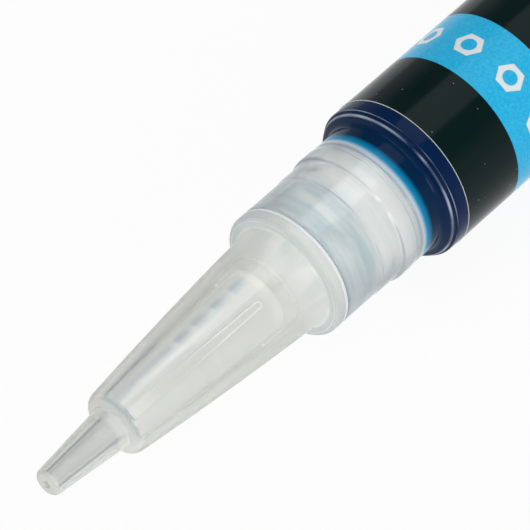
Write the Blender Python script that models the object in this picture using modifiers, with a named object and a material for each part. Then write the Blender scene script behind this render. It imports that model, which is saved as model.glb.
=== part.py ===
"""Tube of threadlocker, lying on its side with its pull-off cap in front of the nozzle.

Every piece is turned about the tube's own axis. The bottle, plug, nozzle, label and filling measure
their heights from the bottle's base, and the cap measures its own from its rim. Two empties lay them
down along X, with the nozzle pointing to -X and the floor at Z = 0. Metres, +Z up.
"""

import math

import bmesh
import bpy
from mathutils import Matrix, Vector

MM = 0.001

# Bottle, lengths along the axis
BODY_LENGTH = 64.0 * MM
NECK_LENGTH = 13.3 * MM
SHOULDER_RISE = 0.25 * MM
LEDGE_LENGTH = 0.45 * MM
FRONT_BAND_LENGTH = 1.5 * MM
REAR_BAND_LENGTH = 2.4 * MM
BASE_EDGE_LENGTH = 1.2 * MM
NECK_STEP_SETBACK = 4.7 * MM
NECK_STEP_RAMP = 0.3 * MM
SNAP_BEAD_SETBACK = 7.5 * MM
SNAP_BEAD_LENGTH = 2.2 * MM
SNAP_BEAD_RAMP = 0.4 * MM

# Bottle, radii and walls
LABEL_RADIUS = 8.52 * MM
FRONT_BAND_INSET = 0.02 * MM
LEDGE_STEP = 0.25 * MM
NECK_LIP_RADIUS = 6.93 * MM
NECK_MID_RADIUS = 7.0 * MM
NECK_ROOT_RADIUS = 7.2 * MM
SNAP_BEAD_RADIUS = 7.28 * MM
BODY_WALL = 0.9 * MM
BASE_WALL = 1.2 * MM
NECK_WALL = 1.23 * MM
SHOULDER_SLOPE_LENGTH = 2.4 * MM

# Label
LABEL_THICKNESS = 0.08 * MM

# Plug in the neck
PLUG_DEPTH = 11.2 * MM
PLUG_RIB_HEIGHT = 0.06 * MM
PLUG_RIB_WIDTH = 0.8 * MM
PLUG_RIBS = 2
PLUG_BORE_RADIUS = 1.0 * MM
PLUG_FUNNEL_RADIUS = 3.2 * MM
PLUG_FUNNEL_DEPTH = 2.0 * MM

# Nozzle
FLANGE_THICKNESS = 1.55 * MM
FLANGE_RADIUS = 6.93 * MM
CONE_LENGTH = 24.1 * MM
CONE_REAR_RADIUS = 5.55 * MM
CONE_FRONT_RADIUS = 3.42 * MM
CONE_BULGE = 0.14 * MM
TIP_LENGTH = 9.06 * MM
TIP_BASE_RADIUS = 2.27 * MM
TIP_END_RADIUS = 1.43 * MM
ORIFICE_RADIUS = 0.37 * MM
ORIFICE_DEPTH = 0.5 * MM
TIP_BORE_BASE_RADIUS = 0.95 * MM
TIP_BORE_END_RADIUS = 0.64 * MM
NOZZLE_WALL = 0.6 * MM
NOZZLE_FRONT_WALL = 0.45 * MM
SKIRT_WALL = 0.95 * MM
SKIRT_LENGTH = 5.7 * MM

# Core inside the nozzle
CORE_SETBACK = 3.7 * MM
CORE_REAR_RADIUS = 3.6 * MM
CORE_FRONT_RADIUS = 2.6 * MM
CORE_REAR_BORE_RADIUS = 1.3 * MM
CORE_FRONT_BORE_RADIUS = 0.8 * MM
CORE_RINGS = 4
CORE_RING_PITCH = 2.55 * MM
CORE_RING_HEIGHT = 0.1 * MM
CORE_RING_HALF_WIDTH = 0.2 * MM
CORE_FIRST_RING = 3.4 * MM
FINS = 4
FIN_SETBACK = 2.4 * MM
FIN_FRONT_SETBACK = 0.8 * MM
FIN_WIDTH = 0.75 * MM
FIN_TURN = math.radians(-34.7)

# Cap
CAP_RIM_WALL = 0.94 * MM
CAP_TAPER = 0.52 * MM
CAP_RIM_LENGTH = 3.0 * MM
CAP_STEP = 0.12 * MM
CAP_WALL = 1.1 * MM
CAP_END_WALL = 1.5 * MM
CAP_PIN_RADIUS = 0.27 * MM
CAP_PIN_LENGTH = 1.6 * MM
CAP_REST_GAP = 14.0 * MM

# Clearances
SEAT_GAP = 0.1 * MM
PRESS_GAP = 0.1 * MM
LABEL_GAP = 0.04 * MM
FILL_GAP = 0.1 * MM
FIN_GAP = 0.1 * MM
CAP_GAP = 0.3 * MM
CAP_TIP_GAP = 0.6 * MM

# Fillets
EDGE_FILLET = 0.25 * MM
SOFT_FILLET = 0.45 * MM
INNER_FILLET = 1.0 * MM
CAP_END_FILLET = 1.8 * MM
LONGEST_FILLET_SHARE = 0.48

# Facets
FACETS = 32
ARC_STEPS = 3
CONE_STEPS = 8
MERGE_DISTANCE = 0.001 * MM

# Heights above the base
SHOULDER_Z = BODY_LENGTH
LIP_Z = SHOULDER_Z + NECK_LENGTH
LEDGE_FRONT_Z = SHOULDER_Z - SHOULDER_RISE
BAND_FRONT_Z = LEDGE_FRONT_Z - LEDGE_LENGTH
PANEL_FRONT_Z = BAND_FRONT_Z - FRONT_BAND_LENGTH
PANEL_REAR_Z = BASE_EDGE_LENGTH + REAR_BAND_LENGTH
NECK_STEP_Z = LIP_Z - NECK_STEP_SETBACK
SNAP_FRONT_Z = LIP_Z - SNAP_BEAD_SETBACK
SNAP_REAR_Z = SNAP_FRONT_Z - SNAP_BEAD_LENGTH
FLANGE_REAR_Z = LIP_Z + SEAT_GAP
FLANGE_TOP_Z = FLANGE_REAR_Z + FLANGE_THICKNESS
CONE_TOP_Z = FLANGE_TOP_Z + CONE_LENGTH
TIP_TOP_Z = CONE_TOP_Z + TIP_LENGTH
ORIFICE_REAR_Z = TIP_TOP_Z - ORIFICE_DEPTH
SKIRT_END_Z = FLANGE_REAR_Z - SKIRT_LENGTH
PLUG_TOP_Z = SKIRT_END_Z - SEAT_GAP
PLUG_END_Z = LIP_Z - PLUG_DEPTH
NOZZLE_FRONT_INSIDE_Z = CONE_TOP_Z - NOZZLE_FRONT_WALL
CORE_REAR_Z = FLANGE_TOP_Z + CORE_SETBACK
CORE_FRONT_Z = NOZZLE_FRONT_INSIDE_Z - SEAT_GAP
FIN_REAR_Z = CORE_REAR_Z + FIN_SETBACK
FIN_FRONT_Z = CORE_FRONT_Z - FIN_FRONT_SETBACK

# Radii that follow from the ones above
FRONT_BAND_RADIUS = LABEL_RADIUS - FRONT_BAND_INSET
REAR_BAND_RADIUS = LABEL_RADIUS
LEDGE_RADIUS = FRONT_BAND_RADIUS - LEDGE_STEP
PANEL_RADIUS = LABEL_RADIUS - LABEL_THICKNESS - LABEL_GAP
BODY_BORE_RADIUS = PANEL_RADIUS - BODY_WALL
NECK_BORE_RADIUS = NECK_LIP_RADIUS - NECK_WALL
PLUG_RADIUS = NECK_BORE_RADIUS - PRESS_GAP - PLUG_RIB_HEIGHT
SKIRT_RADIUS = NECK_BORE_RADIUS - PRESS_GAP
SKIRT_BORE_RADIUS = SKIRT_RADIUS - SKIRT_WALL
CAP_BORE_RADIUS = SNAP_BEAD_RADIUS + CAP_GAP
CAP_RADIUS = CAP_BORE_RADIUS + CAP_RIM_WALL
CAP_END_RADIUS = CAP_RADIUS - CAP_TAPER

# Cap, heights above its own rim
CAP_SEAT_Z = SHOULDER_Z + CAP_GAP
CAP_INSIDE_LENGTH = TIP_TOP_Z + CAP_TIP_GAP - CAP_SEAT_Z
CAP_LENGTH = CAP_INSIDE_LENGTH + CAP_END_WALL

# Places on the floor
TOTAL_LENGTH = TIP_TOP_Z + CAP_REST_GAP + CAP_LENGTH
BASE_X = TOTAL_LENGTH / 2
CAP_RIM_X = BASE_X - TIP_TOP_Z - CAP_REST_GAP
HALF_FACET = math.pi / FACETS
AXIS_HEIGHT = max(LABEL_RADIUS, CAP_RADIUS) * math.cos(HALF_FACET)


def new_collection(name):
    collection = bpy.data.collections.new(name)
    bpy.context.scene.collection.children.link(collection)
    return collection


def new_material(name, colour, roughness, transmission=0.0):
    """Principled material with one colour; nothing on this object is metal."""
    material = bpy.data.materials.new(name)
    material.use_nodes = True
    shader = material.node_tree.nodes["Principled BSDF"]
    shader.inputs["Base Color"].default_value = (*colour, 1.0)
    shader.inputs["Roughness"].default_value = roughness
    shader.inputs["Metallic"].default_value = 0.0
    shader.inputs["Transmission Weight"].default_value = transmission
    return material


def laid_axis(name, x, collection):
    """Empty that lays local +Z along -X and turns a flat facet to the floor."""
    empty = bpy.data.objects.new(name, None)
    empty.rotation_mode = "ZYX"
    empty.rotation_euler = (0.0, -math.pi / 2, HALF_FACET)
    empty.location = (x, 0.0, AXIS_HEIGHT)
    collection.objects.link(empty)
    return empty


def fillet(before, corner, after):
    """Points of the arc that rounds one corner of an outline, or the corner itself."""
    point = Vector(corner[:2])
    if corner[2] == 0.0:
        return [point]
    to_before = Vector(before[:2]) - point
    to_after = Vector(after[:2]) - point
    half_angle = to_before.angle(to_after) / 2
    longest = LONGEST_FILLET_SHARE * min(to_before.length, to_after.length)
    reach = min(corner[2] / math.tan(half_angle), longest)
    radius = reach * math.tan(half_angle)
    to_before.normalize()
    to_after.normalize()
    centre = point + (to_before + to_after).normalized() * radius / math.sin(half_angle)
    start = (point + to_before * reach - centre).normalized()
    end = (point + to_after * reach - centre).normalized()
    return [centre + radius * start.slerp(end, step / ARC_STEPS) for step in range(ARC_STEPS + 1)]


def rounded(corners):
    """Outline through (radius, height, fillet) corners; the first and last follow each other round."""
    outline = []
    for index, corner in enumerate(corners):
        after = corners[(index + 1) % len(corners)]
        outline += fillet(corners[index - 1], corner, after)
    return outline


def turned(name, corners, material, parent, collection, closed):
    """Piece turned about its axis from an outline that runs down its outer side."""
    outline = rounded(corners)
    edges = [(index, index + 1) for index in range(len(outline) - 1)]
    if closed:
        edges.append((len(outline) - 1, 0))
    mesh = bpy.data.meshes.new(name)
    mesh.from_pydata([(radius, 0.0, height) for radius, height in outline], edges, [])
    mesh.materials.append(material)
    piece = bpy.data.objects.new(name, mesh)
    piece.parent = parent
    collection.objects.link(piece)
    screw = piece.modifiers.new("turn", "SCREW")
    screw.axis = "Z"
    screw.steps = FACETS
    screw.render_steps = FACETS
    screw.use_merge_vertices = True
    screw.merge_threshold = MERGE_DISTANCE
    screw.use_smooth_shade = True
    return piece


def cone_radius(height):
    """Outer radius of the nozzle's cone, which swells a little between its ends."""
    along = (height - FLANGE_TOP_Z) / CONE_LENGTH
    straight = CONE_REAR_RADIUS + (CONE_FRONT_RADIUS - CONE_REAR_RADIUS) * along
    return straight + CONE_BULGE * 4 * along * (1 - along)


def cone_bore_radius(height):
    return cone_radius(height) - NOZZLE_WALL


def core_radius(height):
    along = (height - CORE_REAR_Z) / (CORE_FRONT_Z - CORE_REAR_Z)
    return CORE_REAR_RADIUS + (CORE_FRONT_RADIUS - CORE_REAR_RADIUS) * along


def body_inside():
    """Corners of the bottle's inside, from the base's middle up to the lip."""
    slope_start = SHOULDER_Z - SHOULDER_SLOPE_LENGTH
    return [
        (0.0, BASE_WALL, 0.0),
        (BODY_BORE_RADIUS, BASE_WALL, INNER_FILLET),
        (BODY_BORE_RADIUS, slope_start, INNER_FILLET),
        (NECK_BORE_RADIUS, SHOULDER_Z, SOFT_FILLET),
        (NECK_BORE_RADIUS, LIP_Z, 0.0),
    ]


def make_bottle(material, parent, collection):
    outside = [
        (NECK_LIP_RADIUS, LIP_Z, EDGE_FILLET),
        (NECK_LIP_RADIUS, NECK_STEP_Z, 0.0),
        (NECK_MID_RADIUS, NECK_STEP_Z - NECK_STEP_RAMP, 0.0),
        (NECK_MID_RADIUS, SNAP_FRONT_Z, EDGE_FILLET),
        (SNAP_BEAD_RADIUS, SNAP_FRONT_Z - SNAP_BEAD_RAMP, EDGE_FILLET),
        (SNAP_BEAD_RADIUS, SNAP_REAR_Z + SNAP_BEAD_RAMP, EDGE_FILLET),
        (NECK_ROOT_RADIUS, SNAP_REAR_Z, EDGE_FILLET),
        (NECK_ROOT_RADIUS, SHOULDER_Z, SOFT_FILLET),
        (LEDGE_RADIUS, LEDGE_FRONT_Z, EDGE_FILLET),
        (LEDGE_RADIUS, BAND_FRONT_Z, 0.0),
        (FRONT_BAND_RADIUS, BAND_FRONT_Z, EDGE_FILLET),
        (FRONT_BAND_RADIUS, PANEL_FRONT_Z, 0.0),
        (PANEL_RADIUS, PANEL_FRONT_Z, 0.0),
        (PANEL_RADIUS, PANEL_REAR_Z, 0.0),
        (REAR_BAND_RADIUS, PANEL_REAR_Z, 0.0),
        (REAR_BAND_RADIUS, 0.0, BASE_EDGE_LENGTH),
        (0.0, 0.0, 0.0),
    ]
    return turned("bottle", body_inside() + outside, material, parent, collection, closed=False)


def make_fill(material, parent, collection):
    """Filling that stands a small gap off the bottle's inside and the plug's end."""
    side = BODY_BORE_RADIUS - FILL_GAP
    neck = NECK_BORE_RADIUS - FILL_GAP
    top = PLUG_END_Z - FILL_GAP
    corners = [
        (0.0, top, 0.0),
        (neck, top, 0.0),
        (neck, SHOULDER_Z - FILL_GAP, SOFT_FILLET),
        (side, SHOULDER_Z - SHOULDER_SLOPE_LENGTH - FILL_GAP, INNER_FILLET),
        (side, BASE_WALL + FILL_GAP, INNER_FILLET),
        (0.0, BASE_WALL + FILL_GAP, 0.0),
    ]
    return turned("threadlocker_fill", corners, material, parent, collection, closed=False)


def make_label(material, parent, collection):
    front = PANEL_FRONT_Z - LABEL_GAP
    rear = PANEL_REAR_Z + LABEL_GAP
    inside = LABEL_RADIUS - LABEL_THICKNESS
    corners = [
        (LABEL_RADIUS, front, 0.0),
        (LABEL_RADIUS, rear, 0.0),
        (inside, rear, 0.0),
        (inside, front, 0.0),
    ]
    return turned("label", corners, material, parent, collection, closed=True)


def make_plug(material, parent, collection):
    """Reducer plug with sealing ribs round it and a funnel towards the nozzle."""
    rib_pitch = (PLUG_TOP_Z - PLUG_END_Z) / (PLUG_RIBS + 1)
    corners = [(PLUG_FUNNEL_RADIUS, PLUG_TOP_Z, 0.0), (PLUG_RADIUS, PLUG_TOP_Z, EDGE_FILLET)]
    for rib in range(PLUG_RIBS):
        middle = PLUG_TOP_Z - rib_pitch * (rib + 1)
        corners += [
            (PLUG_RADIUS, middle + PLUG_RIB_WIDTH / 2, 0.0),
            (PLUG_RADIUS + PLUG_RIB_HEIGHT, middle, 0.0),
            (PLUG_RADIUS, middle - PLUG_RIB_WIDTH / 2, 0.0),
        ]
    corners += [
        (PLUG_RADIUS, PLUG_END_Z, EDGE_FILLET),
        (PLUG_BORE_RADIUS, PLUG_END_Z, 0.0),
        (PLUG_BORE_RADIUS, PLUG_TOP_Z - PLUG_FUNNEL_DEPTH, 0.0),
    ]
    return turned("neck_plug", corners, material, parent, collection, closed=True)


def make_nozzle(material, parent, collection):
    """Nozzle shell: tip, cone and flange outside, then the skirt and the inside back to the orifice."""
    heights = [FLANGE_TOP_Z + CONE_LENGTH * step / CONE_STEPS for step in range(CONE_STEPS + 1)]
    inside_rear = FLANGE_TOP_Z
    inside_length = NOZZLE_FRONT_INSIDE_Z - inside_rear
    inside = [inside_rear + inside_length * step / CONE_STEPS for step in range(CONE_STEPS + 1)]
    corners = [
        (TIP_END_RADIUS, TIP_TOP_Z, EDGE_FILLET),
        (TIP_BASE_RADIUS, CONE_TOP_Z, EDGE_FILLET),
        (CONE_FRONT_RADIUS, CONE_TOP_Z, SOFT_FILLET),
    ]
    corners += [(cone_radius(height), height, 0.0) for height in reversed(heights[1:-1])]
    corners += [
        (CONE_REAR_RADIUS, FLANGE_TOP_Z, EDGE_FILLET),
        (FLANGE_RADIUS, FLANGE_TOP_Z, EDGE_FILLET),
        (FLANGE_RADIUS, FLANGE_REAR_Z, EDGE_FILLET),
        (SKIRT_RADIUS, FLANGE_REAR_Z, 0.0),
        (SKIRT_RADIUS, SKIRT_END_Z, EDGE_FILLET),
        (SKIRT_BORE_RADIUS, SKIRT_END_Z, EDGE_FILLET),
        (SKIRT_BORE_RADIUS, FLANGE_REAR_Z, SOFT_FILLET),
    ]
    corners += [(cone_bore_radius(height), height, 0.0) for height in inside]
    corners += [
        (TIP_BORE_BASE_RADIUS, NOZZLE_FRONT_INSIDE_Z, 0.0),
        (TIP_BORE_END_RADIUS, ORIFICE_REAR_Z, 0.0),
        (ORIFICE_RADIUS, ORIFICE_REAR_Z, 0.0),
        (ORIFICE_RADIUS, TIP_TOP_Z, 0.0),
    ]
    return turned("nozzle", corners, material, parent, collection, closed=True)


def make_fins(parent, cutters):
    """Tapered plates round the core, made as one helper that is joined to it."""
    mesh = bpy.data.meshes.new("core_fins")
    shape = bmesh.new()
    for fin in range(FINS):
        blank = bmesh.ops.create_cube(shape, size=1.0)["verts"]
        for vert in blank:
            height = FIN_FRONT_Z if vert.co.z > 0 else FIN_REAR_Z
            root = (CORE_FRONT_RADIUS + CORE_FRONT_BORE_RADIUS) / 2
            edge = cone_bore_radius(height) - FIN_GAP
            vert.co = (edge if vert.co.x > 0 else root, math.copysign(FIN_WIDTH / 2, vert.co.y), height)
        turn = FIN_TURN - HALF_FACET + fin * 2 * math.pi / FINS
        bmesh.ops.rotate(shape, verts=blank, cent=(0.0, 0.0, 0.0), matrix=Matrix.Rotation(turn, 3, "Z"))
    bmesh.ops.recalc_face_normals(shape, faces=shape.faces)
    shape.to_mesh(mesh)
    shape.free()
    fins = bpy.data.objects.new("core_fins", mesh)
    fins.parent = parent
    fins.hide_render = True
    fins.display_type = "WIRE"
    cutters.objects.link(fins)
    return fins


def make_core(material, parent, collection, cutters):
    """Core tube with fine rings round it and fins that centre it in the cone."""
    corners = [(CORE_FRONT_RADIUS, CORE_FRONT_Z, EDGE_FILLET)]
    for ring in reversed(range(CORE_RINGS)):
        middle = CORE_REAR_Z + CORE_FIRST_RING + CORE_RING_PITCH * ring
        front = middle + CORE_RING_HALF_WIDTH
        rear = middle - CORE_RING_HALF_WIDTH
        corners += [
            (core_radius(front), front, 0.0),
            (core_radius(middle) + CORE_RING_HEIGHT, middle, 0.0),
            (core_radius(rear), rear, 0.0),
        ]
    corners += [
        (CORE_REAR_RADIUS, CORE_REAR_Z, SOFT_FILLET),
        (CORE_REAR_BORE_RADIUS, CORE_REAR_Z, SOFT_FILLET),
        (CORE_FRONT_BORE_RADIUS, CORE_FRONT_Z, 0.0),
    ]
    core = turned("nozzle_core", corners, material, parent, collection, closed=True)
    join = core.modifiers.new("fins", "BOOLEAN")
    join.operation = "UNION"
    join.solver = "EXACT"
    join.object = make_fins(parent, cutters)
    return core


def make_cap(material, parent, collection):
    """Cap with a stepped rim, a slight taper, a rounded end and a pin that closes the orifice."""
    inside_end_radius = CAP_END_RADIUS - CAP_WALL
    pin_end = CAP_INSIDE_LENGTH - CAP_TIP_GAP - CAP_PIN_LENGTH
    corners = [
        (0.0, CAP_LENGTH, 0.0),
        (CAP_END_RADIUS, CAP_LENGTH, CAP_END_FILLET),
        (CAP_RADIUS - CAP_STEP, CAP_RIM_LENGTH, 0.0),
        (CAP_RADIUS, CAP_RIM_LENGTH, 0.0),
        (CAP_RADIUS, 0.0, EDGE_FILLET),
        (CAP_BORE_RADIUS, 0.0, EDGE_FILLET),
        (CAP_BORE_RADIUS, NECK_LENGTH, 0.0),
        (inside_end_radius, CAP_INSIDE_LENGTH, INNER_FILLET),
        (CAP_PIN_RADIUS, CAP_INSIDE_LENGTH, 0.0),
        (CAP_PIN_RADIUS, pin_end, 0.0),
        (0.0, pin_end, 0.0),
    ]
    return turned("overcap", corners, material, parent, collection, closed=False)


def main():
    for thing in list(bpy.data.objects):
        bpy.data.objects.remove(thing)
    parts = new_collection("threadlocker_tube")
    cutters = new_collection("cutters")
    natural = new_material("natural_plastic", (0.80, 0.82, 0.79), 0.35, transmission=0.6)
    plug_white = new_material("plug_plastic", (0.82, 0.84, 0.80), 0.45)
    core_white = new_material("core_plastic", (0.86, 0.87, 0.83), 0.45)
    clear_nozzle = new_material("nozzle_plastic", (0.84, 0.86, 0.83), 0.25, transmission=0.7)
    blue_liquid = new_material("blue_filling", (0.004, 0.10, 0.30), 0.15)
    black_label = new_material("label_film", (0.010, 0.016, 0.016), 0.2)
    cap_white = new_material("cap_plastic", (0.82, 0.83, 0.80), 0.35, transmission=0.4)

    tube_axis = laid_axis("tube_axis", BASE_X, parts)
    cap_axis = laid_axis("cap_axis", CAP_RIM_X, parts)
    make_bottle(natural, tube_axis, parts)
    make_fill(blue_liquid, tube_axis, parts)
    make_label(black_label, tube_axis, parts)
    make_plug(plug_white, tube_axis, parts)
    make_nozzle(clear_nozzle, tube_axis, parts)
    make_core(core_white, tube_axis, parts, cutters)
    make_cap(cap_white, cap_axis, parts)


main()
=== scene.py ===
"""Looks of a tube of threadlocker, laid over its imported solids. Metres, +Z up.

The tube lies along X with its nozzle towards -X. Heights are measured along its axis from the
bottle's base, and the cap's heights from its own rim.
"""

import math
from types import SimpleNamespace

import bmesh
import bpy
from mathutils import Matrix, Vector


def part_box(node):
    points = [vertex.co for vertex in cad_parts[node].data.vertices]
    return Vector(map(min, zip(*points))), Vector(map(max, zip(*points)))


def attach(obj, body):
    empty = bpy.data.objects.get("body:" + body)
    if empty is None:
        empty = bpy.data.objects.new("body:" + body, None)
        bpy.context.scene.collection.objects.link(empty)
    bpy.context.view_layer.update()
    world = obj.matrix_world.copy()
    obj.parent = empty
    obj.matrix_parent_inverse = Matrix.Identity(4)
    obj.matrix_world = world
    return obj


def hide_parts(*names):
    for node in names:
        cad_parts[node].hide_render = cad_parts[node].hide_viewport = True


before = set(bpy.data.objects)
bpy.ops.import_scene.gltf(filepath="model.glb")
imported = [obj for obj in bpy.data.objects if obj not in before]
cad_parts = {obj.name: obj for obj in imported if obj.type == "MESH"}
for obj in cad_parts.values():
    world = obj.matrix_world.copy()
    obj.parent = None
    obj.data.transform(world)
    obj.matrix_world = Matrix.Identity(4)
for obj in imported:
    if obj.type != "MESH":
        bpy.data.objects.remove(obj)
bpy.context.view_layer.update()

MM = 0.001

# Places read from the frame
BASE_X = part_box("bottle")[1].x
AXIS_Z = (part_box("label")[0].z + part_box("label")[1].z) / 2
CAP_RIM_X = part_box("overcap")[1].x
LIP_Z = BASE_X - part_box("bottle")[0].x
LABEL_FRONT_Z = BASE_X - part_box("label")[0].x
LABEL_REAR_Z = BASE_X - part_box("label")[1].x
TIP_Z = BASE_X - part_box("nozzle")[0].x
CAP_LENGTH = CAP_RIM_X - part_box("overcap")[0].x

# Bottle
BAND_FRONT_Z = LABEL_FRONT_Z + 1.54 * MM
LEDGE_FRONT_Z = BAND_FRONT_Z + 0.45 * MM
SHOULDER_Z = LEDGE_FRONT_Z + 0.25 * MM
SHOULDER_INSIDE_RUN = 2.4 * MM
BAND_RADIUS = 8.5 * MM
LEDGE_RADIUS = 8.25 * MM
PANEL_RADIUS = 8.40 * MM
NECK_ROOT_RADIUS = 7.2 * MM
SNAP_RADIUS = 7.28 * MM
NECK_MID_RADIUS = 7.0 * MM
LIP_RADIUS = 6.93 * MM
NECK_BORE = 5.7 * MM
BODY_BORE = 7.5 * MM
BASE_WALL = 1.2 * MM
FOOT_RADIUS = 6.9 * MM
PUSH_UP = 0.5 * MM
PUSH_UP_RUN = 1.0 * MM
PARTING_Z = 67.1 * MM
PARTING_HALF_WIDTH = 0.08 * MM
PARTING_DEPTH = 0.05 * MM
FILL_CONTACT = 0.02 * MM

# Steps of the neck, measured from its lip
LIP_STEP = 4.85 * MM
LIP_STEP_HALF_RUN = 0.15 * MM
SNAP_FRONT_STEP = 7.7 * MM
SNAP_REAR_STEP = 9.5 * MM
SNAP_HALF_RUN = 0.2 * MM

# Label
LABEL_RADIUS = 8.52 * MM
LABEL_THICKNESS = 0.08 * MM
LABEL_LIFT = 0.04 * MM
LABEL_LIFT_RUN = 1.5 * MM

# Plug
PLUG_END_Z = 66.1 * MM
PLUG_TOP_Z = 71.6 * MM
PLUG_RADIUS = 5.6 * MM
PLUG_BORE = 1.0 * MM
PLUG_MOUTH = 3.2 * MM
PLUG_FUNNEL = 2.0 * MM

# Nozzle
FLANGE_REAR_Z = LIP_Z + 0.1 * MM
FLANGE_TOP_Z = FLANGE_REAR_Z + 1.55 * MM
FLANGE_RADIUS = 6.93 * MM
SKIRT_RADIUS = 5.6 * MM
SKIRT_BORE = 4.65 * MM
SKIRT_LENGTH = 5.7 * MM
SKIRT_END_Z = FLANGE_REAR_Z - SKIRT_LENGTH
CONE_LENGTH = 24.1 * MM
CONE_TOP_Z = FLANGE_TOP_Z + CONE_LENGTH
CONE_REAR_RADIUS = 5.55 * MM
CONE_FRONT_RADIUS = 3.42 * MM
CONE_BULGE = 0.14 * MM
CONE_STEPS = 10
NOZZLE_WALL = 0.6 * MM
NOZZLE_FRONT_WALL = 0.45 * MM
TIP_BASE_RADIUS = 2.27 * MM
TIP_END_RADIUS = 1.43 * MM
TIP_BORE_BASE = 0.95 * MM
TIP_BORE_END = 0.64 * MM
ORIFICE_RADIUS = 0.37 * MM
ORIFICE_DEPTH = 0.5 * MM
ORIFICE_REAR_Z = TIP_Z - ORIFICE_DEPTH

# Core
CORE_REAR_Z = FLANGE_TOP_Z + 3.7 * MM
CORE_FRONT_GAP = 0.1 * MM
CORE_FRONT_Z = CONE_TOP_Z - NOZZLE_FRONT_WALL - CORE_FRONT_GAP
CORE_REAR_RADIUS = 3.6 * MM
CORE_FRONT_RADIUS = 2.6 * MM
CORE_REAR_BORE = 1.3 * MM
CORE_FRONT_BORE = 0.8 * MM
CORE_RINGS = 4
CORE_RING_PITCH = 2.55 * MM
CORE_RING_HEIGHT = 0.04 * MM
CORE_RING_HALF_WIDTH = 0.2 * MM
CORE_FIRST_RING_Z = CORE_REAR_Z + 3.4 * MM
CORE_LAST_RING_Z = CORE_FIRST_RING_Z + CORE_RING_PITCH * (CORE_RINGS - 1)

# Fins of the core
FINS = 4
FIN_TURN = math.radians(-34.7)
FIN_REAR_Z = CORE_REAR_Z + 2.4 * MM
FIN_FRONT_Z = CORE_FRONT_Z - 0.3 * MM
FIN_REAR_WIDTH = 0.75 * MM
FIN_FRONT_WIDTH = 1.3 * MM
FIN_ROUNDING = 0.32 * MM
FIN_EDGE = 0.15 * MM
FIN_GAP = 0.1 * MM
FIN_ROOT_SINK = 0.3 * MM
FIN_FLANK_NORMAL = 0.9

# Material slots of the fins' faces
FIN_RIM, FIN_FACE, FIN_SIDE = 1, 2, 3

# Cap
CAP_RADIUS = 8.52 * MM
CAP_END_RADIUS = 8.0 * MM
CAP_RIM_LENGTH = 3.0 * MM
CAP_STEP = 0.12 * MM
CAP_BORE = 7.58 * MM
CAP_BORE_LENGTH = 13.3 * MM
CAP_END_WALL = 1.5 * MM
CAP_INSIDE_RADIUS = 6.9 * MM
CAP_PIN_RADIUS = 0.27 * MM
CAP_PIN_LENGTH = 2.2 * MM

# Roundings of corners
SHARP = 0
HAIR_ROUND = 0.05 * MM
FINE_ROUND = 0.1 * MM
BAND_ROUND = 0.12 * MM
STEP_ROUND = 0.15 * MM
EDGE_ROUND = 0.2 * MM
RIM_ROUND = 0.25 * MM
INNER_ROUND = 0.3 * MM
CORE_BORE_ROUND = 0.4 * MM
TIP_ROUND = 0.45 * MM
FLANGE_ROUND = 0.45 * MM
SOFT_ROUND = 0.5 * MM
CONE_FRONT_ROUND = 0.8 * MM
WIDE_ROUND = 1.0 * MM
BASE_ROUND = 1.2 * MM
CAP_END_ROUND = 1.8 * MM

# Smoothness of the turned meshes
TURN_STEPS = 128
ROUND_STEPS = 4
SHARP_ANGLE = math.radians(30)
MERGE_DISTANCE = 0.0005 * MM

# Label print
STRIPE_START = 7.41 * MM
STRIPE_END = 14.92 * MM
PRINT_BLUR = 0.05 * MM
FILM_EDGE = (0.02 * MM, 0.07 * MM)
NUTS = 10
NUT_SHIFT = 0.3
NUT_FLATS = 2.7 * MM
NUT_HOLE = 1.6 * MM
NUT_CORNER_TURN = math.radians(60)
DUST_SPECK = (0.04, 0.08)
DUST_SHARE_LIMIT = 0.52

# Scales of the noise, in cells to the metre
DUST_PER_METRE = 1100
DUSTY_PATCHES_PER_METRE = 420
PRINT_GRAIN_PER_METRE = 3500
BLACK_PATCHES_PER_METRE = 300
FILM_GLOSS_PER_METRE = 700
RINGS_PER_METRE = 1500
NECK_PATCHES_PER_METRE = 520
NECK_DRIFT_PER_METRE = 330
LINE_BREAKS_PER_METRE = 180
NAVY_PATCHES_PER_METRE = 160
# Breaks in the painted highlight lines on the band and ledge
HIGHLIGHT_BREAKS_PER_METRE = 170
FILL_PATCHES_PER_METRE = 180
CLOUDS_PER_METRE = 260
GLOSS_PER_METRE = 900
STREAKS_PER_METRE = 800
CORE_MARKS_PER_METRE = 1100

# Stretch of the noise along X, Y and Z
ROUND_THE_TUBE = (1.0, 0.06, 0.06)
WIDE_ROUND_THE_TUBE = (1.0, 0.3, 0.3)
ALONG_THE_TUBE = (0.08, 1.0, 1.0)

# Noise levels between which a patch starts and is full
SOFT_PATCH = (0.35, 0.65)
PRINT_PATCH = (0.3, 0.7)
NECK_PATCH = (0.36, 0.62)
# Breaks in the painted highlight lines on the band and ledge
HIGHLIGHT_BREAK_PATCH = (0.38, 0.66)

# Slants of a face, from 0 face on to 1 edge on, between which the painted shade of its wall starts to show
# and is full
NECK_SLANTS = (0.3, 0.85)
CONE_SLANTS = (0.15, 0.75)
BORE_SLANTS = (0.36, 0.5)

# Film, plastic and liquid
FILM_IOR = 1.5
PLASTIC_IOR = 1.45
LIQUID_IOR = 1.45
LIGHT_PASSED = 0.93
RING_BUMP = 0.03 * MM
# Share of the neck's painted shade where its wall is seen edge on
NECK_WALL_SHARE = 0.72
NOZZLE_GREY = (0.785, 0.785, 0.765, 1.0)
NOZZLE_GREY_DENSITY = 60.0

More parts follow.
